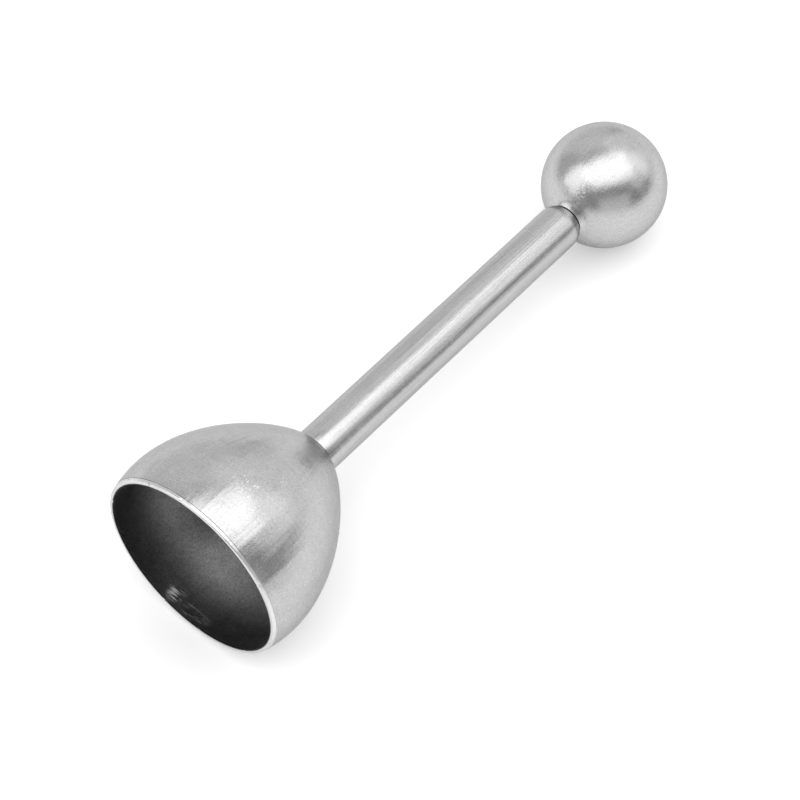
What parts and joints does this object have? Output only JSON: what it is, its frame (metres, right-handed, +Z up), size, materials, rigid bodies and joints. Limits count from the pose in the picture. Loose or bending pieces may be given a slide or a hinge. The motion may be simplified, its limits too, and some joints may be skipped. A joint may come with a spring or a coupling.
{
  "type": "egg topper",
  "caption": "Spring-loaded egg topper: a bell-shaped cup on a slim tube, with a ball knob that is pulled out and let go so that a hammer strikes the cup.",
  "frame": {"origin": "on the surface that the tool lies on, under the middle of its length and width", "axes": "+Z up, +X from the cup's mouth to the ball, +Y to the side. The tool lies on the cup's belly and the ball, so its own axis slopes down by about 3.9 degrees towards +X."},
  "size_m": [0.1358, 0.0412, 0.0412],
  "materials": {
    "cup_steel": "satin",
    "tube_steel": "brushed along its length",
    "ball_steel": "satin",
    "rod_steel": "ground and polished",
    "screw_steel": "plain",
    "turned_steel": "turned",
    "spring_steel": "drawn wire",
    "bush_brass": "turned"
  },
  "bodies": {
    "barrel": {"bell_cup": "cup_steel", "bell_screw": "screw_steel", "bell_washer": "screw_steel", "handle_tube": "tube_steel", "anvil_plug": "turned_steel", "guide_bush": "bush_brass", "upper_spring_seat": "screw_steel", "return_spring": "spring_steel"},
    "spring_seat": {"lower_spring_seat": "screw_steel"},
    "striker": {"hammer": "turned_steel", "hammer_pin": "spring_steel", "pull_rod": "rod_steel", "knob_neck_shell": "ball_steel", "knob_cap_shell": "ball_steel", "knob_insert": "turned_steel"}
  },
  "joints": [
    {"name": "knob_pull", "type": "slide", "parent": "barrel", "child": "spring_seat", "axis": [0.9977, 0, -0.0683], "range_m": [0, 0.022], "stiffness_N_per_m": 500, "springref_m": -0.0052, "deforming": ["return_spring"]},
    {"name": "knob_spin", "type": "hinge", "parent": "spring_seat", "child": "striker", "pos_m": [0.05518, 0, 0.0127], "axis": [0.9977, 0, -0.0683], "continuous": true}
  ]
}
